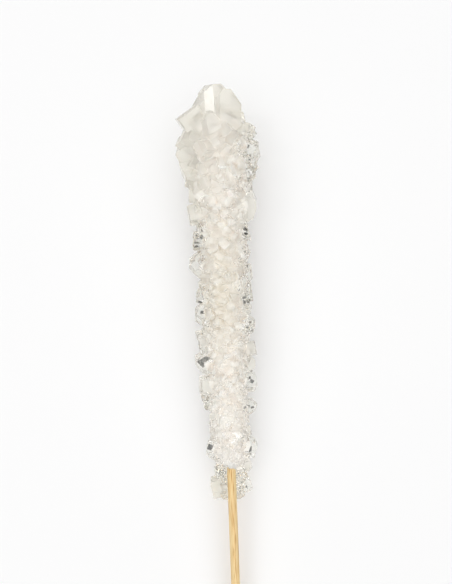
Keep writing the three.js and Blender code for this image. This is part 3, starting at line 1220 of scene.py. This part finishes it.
    def material(self, frame: StickFrame) -> bpy.types.Material:
        """Makes the material.

        Args:
            frame: Where the stick's frame lies.

        Returns:
            The material.
        """
        material, tree, shader = self.start()
        place = add_node(tree, "TexCoord").outputs["Object"]
        turned = {"Vector": place, "Location": tuple(frame.origin), "Rotation": (frame.tilt, 0.0, 0.0)}
        own_place = add_node(tree, "Mapping", turned, vector_type="TEXTURE").outputs["Vector"]
        own = add_node(tree, "SeparateXYZ", {"Vector": own_place}).outputs
        clear = self.haze_free(tree, place, own)
        free = self.veil_free(tree, place, own)
        end = self.in_ends(tree, own_place)
        clearness = blend(tree, clear, self.hazy, self.clearest)
        clearness = blend(tree, free, self.veiled, clearness)
        clearness = blend(tree, end, clearness, self.ends)
        tint = blend(tree, clear, linear(self.haze_tint), linear(self.tint), colours=True)
        tint = blend(tree, free, linear(self.veil_tint), tint, colours=True)
        tint = blend(tree, end, tint, linear(self.end_tint), colours=True)
        faces = self.grown_faces(tree, place)
        fill(shader, {"IOR": self.ior, "Transmission Weight": clearness, "Base Color": tint, "Normal": faces})
        self.pass_lamps(tree)
        return material


@dataclass(frozen=True)
class CloudySugar(Finish):
    """Cloudy sugar: a crowd of fine crystals and trapped syrup bubbles that scatter the light.

    It gives the eye a soft, slightly warm white, mottled, and about its middle a straw-coloured tint that is
    a painted view of the stick showing through the sugar.
    """

    name: str = "cloudy_sugar"
    roughness: float = 0.35
    ior: float = 1.5
    light: str = "#f8f4ee"
    dark: str = "#ede5dd"
    straw: str = "#e6dfd2"  # the tint of the painted view of the stick through the sugar
    scatter_mm: float = 2.5  # how far light spreads in it
    mottle: Pair = (3.0, 4.0)  # the mottle's size in mm, and how many finer sizes it has
    mottle_at: Pair = (0.35, 0.65)  # where in its noise the dark and the light tint lie
    straw_at_mm: Triple = (-1.0, 72.0, 4.0)  # the middle of the painted view of the stick through the sugar, in the stick's frame
    straw_size_mm: Triple = (8.0, 30.0, 12.0)  # how far it reaches in x, y and z

    def material(self, frame: StickFrame) -> bpy.types.Material:
        """Makes the material.

        Args:
            frame: Where the stick's frame lies.

        Returns:
            The material.
        """
        material, tree, shader = self.start()
        place = add_node(tree, "TexCoord").outputs["Object"]
        tints = linear(self.dark), linear(self.light)
        tint = ramp(tree, noise(tree, place, *self.mottle), list(zip(self.mottle_at, tints)))
        # painted view of the stick through the sugar: a straw tint that fades out from a point by the axis
        middle = tuple(frame.to_row(np.array([self.straw_at_mm]))[0])
        ball = {"Vector": place, "Location": middle, "Scale": tuple(size * MM for size in self.straw_size_mm)}
        inside = add_node(tree, "Mapping", ball, vector_type="TEXTURE").outputs["Vector"]
        stick_seen_through = add_node(tree, "TexGradient", {"Vector": inside}, gradient_type="SPHERICAL").outputs["Fac"]
        tint = blend(tree, stick_seen_through, tint, linear(self.straw), colours=True)
        spread = {"Subsurface Radius": (1.0, 1.0, 1.0), "Subsurface Scale": self.scatter_mm * MM}
        fill(shader, {"IOR": self.ior, "Base Color": tint, "Subsurface Weight": 1.0, **spread})
        return material


@dataclass(frozen=True)
class Bamboo(Finish):
    """Bamboo: a skewer split from the stem, turned round and left bare.

    It gives the eye long straight fibres, paler and browner by turns, with a dull natural gloss.
    """

    name: str = "bamboo_turned"
    roughness: float = 0.5
    pale: str = "#f8e0ac"
    middle: str = "#ebc78b"
    fibre: str = "#b07c3c"
    fibres: Pair = (0.35, 4.0)  # how thick the fibres are in mm, and how many finer sizes they have
    stretch: float = 60.0  # how many times longer they are
    tints_at: Triple = (0.3, 0.45, 0.65)  # where in the fibres' noise the tints lie, the brownest first
    grooves: Pair = (0.5, 0.08)  # how strongly they show, and how deep they are in mm

    def material(self) -> bpy.types.Material:
        """Makes the material.

        Returns:
            The material.
        """
        material, tree, shader = self.start()
        place = add_node(tree, "TexCoord").outputs["Object"]
        long_way = add_node(tree, "Mapping", {"Vector": place, "Scale": (1.0, 1 / self.stretch, 1.0)})
        fibres = noise(tree, long_way.outputs["Vector"], *self.fibres)
        tints = map(linear, (self.fibre, self.middle, self.pale))
        tint = ramp(tree, fibres, list(zip(self.tints_at, tints)))
        fill(shader, {"Base Color": tint, "Normal": relief(tree, fibres, *self.grooves)})
        return material


@dataclass(frozen=True)
class PaleFloor(Finish):
    """The pale floor: matt white board."""

    name: str = "matt_white_board"
    roughness: float = 0.9
    colour: str = "#f8f8f8"

    def material(self) -> bpy.types.Material:
        """Makes the material.

        Returns:
            The material.
        """
        material, _, shader = self.start()
        fill(shader, {"Base Color": linear(self.colour), "Specular IOR Level": 0.0})
        return material


# ---- sub-assemblies ----


@dataclass(frozen=True)
class Skewer:
    """The bamboo skewer, in mm."""

    frame: StickFrame
    diameter: float = 3.0
    length: float = 200.0
    handle: float = 72.0  # how much of it is below the candy
    edge: float = 0.25  # the bevel of its ends
    sides: int = 64
    rings: int = 160

    def build(self) -> Item:
        """Makes the skewer: a turned rod with bevelled ends.

        Returns:
            The skewer, with its material.
        """
        radius = self.diameter / 2
        low, high = -self.handle, self.length - self.handle
        along = np.linspace(low + self.edge, high - self.edge, self.rings)
        wall = rows(np.full(self.rings, radius), along)
        foot, head = ([[radius - self.edge, end]] for end in (low, high))
        points, faces = lathe(np.concatenate([foot, wall, head]), self.sides)
        item = solid("skewer", self.frame.to_row(points), faces)
        item.data.materials.append(Bamboo().material())
        return item


@dataclass(frozen=True)
class Candy:
    """The mass of sugar: clear crystals over a cloudy heart of fine ones, in mm."""

    frame: StickFrame
    skewer: Skewer
    heart: Heart = Heart()  # what the clear crystals stand out of
    cloud: Heart = Heart(CLOUD, sides=24, rings=40)  # what the cloudy ones stand out of
    # how far up the skewer's front is bare, in strips from left to right
    bare_front: tuple[float, ...] = (11.5, 11.0, 10.7, 10.6, 10.8, 10.7)
    into_wood: float = 0.05  # how far the sugar reaches into the skewer's wall
    ground: float = 1.0  # how far the block that stands for the ground reaches, in metres

    def taken_away(self) -> list[Item]:
        """Makes what the sugar leaves free: the skewer's room, the strips of its bare front and the floor.

        Returns:
            Closed shapes.
        """
        skewer, radius = self.skewer, self.skewer.diameter / 2 - self.into_wood
        low, high = -skewer.handle, skewer.length - skewer.handle - self.into_wood
        shapes = [lathe(np.array([[radius, low], [radius, high]]), skewer.sides)]
        width = 2 * radius / len(self.bare_front) + self.into_wood
        for x, stop in zip(np.linspace(-radius, radius, len(self.bare_front) + 1), self.bare_front):
            shapes.append(box((x, low, 0), (x + width, stop, skewer.length)))
        items = [solid("room", self.frame.to_row(points), faces) for points, faces in shapes]
        ground = box((-self.ground,) * 3, (self.ground, self.ground, 0))
        return [*items, solid("under_floor", *ground)]

    def grow(self, name: str, heart: Heart, crystals: Crystals, hollows: Crystals | None = None) -> Item:
        """Grows a piece of the mass.

        Args:
            name: The piece's name.
            heart: What its crystals stand out of.
            crystals: Its crystals.
            hollows: What they leave open.

        Returns:
            The piece, without a material.
        """
        points, faces = heart.surface()
        piece = solid(name, self.frame.to_row(points), faces)
        Fusion(self.frame).join(piece, crystals, self.taken_away(), hollows)
        return piece

    def shell(self) -> Item:
        """Grows the clear crystals together.

        Returns:
            The piece, with its material.
        """
        leaders = leading_crystals()
        rest = leaders.pick(slice(THICK_END, None))
        every = Crystals.together(
            leaders,
            Terraces().grow(rest),
            Growth().grow(self.heart),
            Growth(stop=116.5, first=7000, scale=0.8, share=1.6, stand=(0.3, 0.6)).grow(self.heart),
            Growth(start=2.5, stop=12, first=8000, scale=0.8, share=0.9, stand=(0.2, 0.6)).grow(self.heart),
            Crust().grow(leaders.pick(ROUGH)),
        )
        log.info("%d clear crystals", len(every))
        piece = self.grow(
            "clear_crystals", self.heart, every, Crystals.together(thin_gaps(), Flaws().grow(rest))
        )
        piece.data.materials.append(ClearSugar().material(self.frame))
        return piece

    def core(self) -> Item:
        """Grows the fine crystals of the cloudy heart together.

        Returns:
            The piece, with its material.
        """
        fine = Growth(start=12, stop=129, first=2000, scale=1.1, stand=(0.02, 0.4)).grow(self.cloud)
        roots = Roots().grow(leading_crystals().pick(slice(SHOULDERS_END, None)))
        piece = self.grow("cloudy_heart", self.cloud, Crystals.together(fine, roots))
        piece.data.materials.append(CloudySugar().material(self.frame))
        return piece


@dataclass(frozen=True)
class Studio:
    """A pale floor, soft light and the camera."""

    frame: StickFrame
    picture_px: tuple[int, int] = (452, 584)
    mm_per_px: float = 0.34  # the scale at the stick
    lowest_px: float = 500  # the row that the candy's lowest crystal lies in
    axis_px: Pair = (233.5, 527)  # a column and a row that the stick's axis passes through
    lean: float = 0.037  # how far the axis leans to the left, as a part of its height
    distance: float = 0.7  # from the camera to the stick's axis, in metres
    clip: Pair = (0.01, 20)  # how near and how far the camera sees, in metres
    floor_half: float = 2.0  # half the floor's side, in metres
    sky: tuple[Pair, ...] = ((0.0, 0.02), (0.36, 0.03), (0.48, 0.8), (0.65, 1.0), (0.955, 1.0), (0.975, 0.04))
    strength: float = 1.38  # by how much all of that is multiplied
    lamp_at: Triple = (-0.88, 0.037, 0.922)  # where the lamp hangs, in metres
    lamp_side: float = 0.18  # the length of its side, in metres
    lamp_power: float = 0.53
    bounces: int = 32  # how often light may turn in the sugar
    few_bounces: int = 8  # and how often off matt faces, or off shiny ones

    def camera(self) -> None:
        """Looks straight at the shown side, rolled so that the candy leans a little to the left."""
        camera = linked("camera", bpy.data.cameras.new("camera"))
        width, height = self.picture_px
        along = (self.lowest_px - height / 2) * self.mm_per_px
        column, row = self.axis_px
        beside = (width / 2 - (column - self.lean * (row - height / 2))) * self.mm_per_px
        target = Vector(self.frame.to_row(np.array([beside, along, 0.0])))
        camera.matrix_world = (
            Matrix.Translation(target)
            @ Matrix.Rotation(self.frame.tilt, 4, "X")
            @ Matrix.Rotation(-math.atan(self.lean), 4, "Z")
            @ Matrix.Translation((0, 0, self.distance))
        )
        camera.data.sensor_fit = "VERTICAL"
        camera.data.angle = 2 * math.atan(height * self.mm_per_px * MM / 2 / self.distance)
        camera.data.clip_start, camera.data.clip_end = self.clip
        bpy.context.scene.camera = camera

    def floor(self) -> None:
        """Lays the floor."""
        points = self.floor_half * np.array([[-1, -1, 0], [1, -1, 0], [1, 1, 0], [-1, 1, 0]])
        floor = solid("floor", points, np.arange(4)[None])
        floor.data.materials.append(PaleFloor().material())

    def light(self) -> None:
        """Lights the candy from all round, with a dimmer horizon, and hangs a soft lamp on the left."""
        world = bpy.data.worlds.new("studio")
        bpy.context.scene.world = world
        world.use_nodes = True
        tree = world.node_tree
        place = add_node(tree, "TexCoord").outputs["Generated"]
        height = add_node(tree, "SeparateXYZ", {"Vector": place}).outputs["Z"]
        sky = ramp(tree, height, [(at, grey(level)) for at, level in self.sky])
        fill(tree.nodes["Background"], {"Color": sky, "Strength": self.strength})
        lamp = linked("key", bpy.data.lights.new("key", "AREA"))
        lamp.data.size = self.lamp_side
        lamp.data.energy = self.lamp_power
        lamp.location = self.lamp_at
        lamp.rotation_euler = (-Vector(self.lamp_at)).to_track_quat("-Z", "Y").to_euler()

    def build(self) -> None:
        """Sets the whole stage."""
        self.camera()
        self.floor()
        self.light()
        scene = bpy.context.scene
        scene.view_settings.view_transform = "Standard"
        scene.cycles.max_bounces = scene.cycles.transmission_bounces = self.bounces
        scene.cycles.diffuse_bounces = scene.cycles.glossy_bounces = self.few_bounces


# The two places where the mass rests: how far along the stick, and how far the floor is below it, in mm.
REST_LOW = (18, 7.7)
REST_HIGH = (117, 12.7)


def main() -> None:
    """Builds the candy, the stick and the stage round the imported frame."""
    logging.basicConfig(level=logging.INFO, format="%(name)s: %(message)s")
    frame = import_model()
    log.info("nodes: %s", ", ".join(sorted(frame["nodes"])))

    tilt = math.asin((REST_HIGH[1] - REST_LOW[1]) / (REST_HIGH[0] - REST_LOW[0]))
    stick_frame = StickFrame.from_stick("stick", Skewer.length, Skewer.handle, tilt)
    skewer = Skewer(stick_frame)
    candy = Candy(stick_frame, skewer)

    wood = skewer.build()
    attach(wood, "root")
    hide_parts("stick")
    log.info("%s: %d faces", wood.name, len(wood.data.polygons))

    for piece in (candy.shell(), candy.core()):
        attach(piece, "root")
        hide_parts("sugar_crystals")
        log.info("%s: %d faces", piece.name, len(piece.data.polygons))

    Studio(stick_frame).build()


if __name__ == "__main__":
    main()
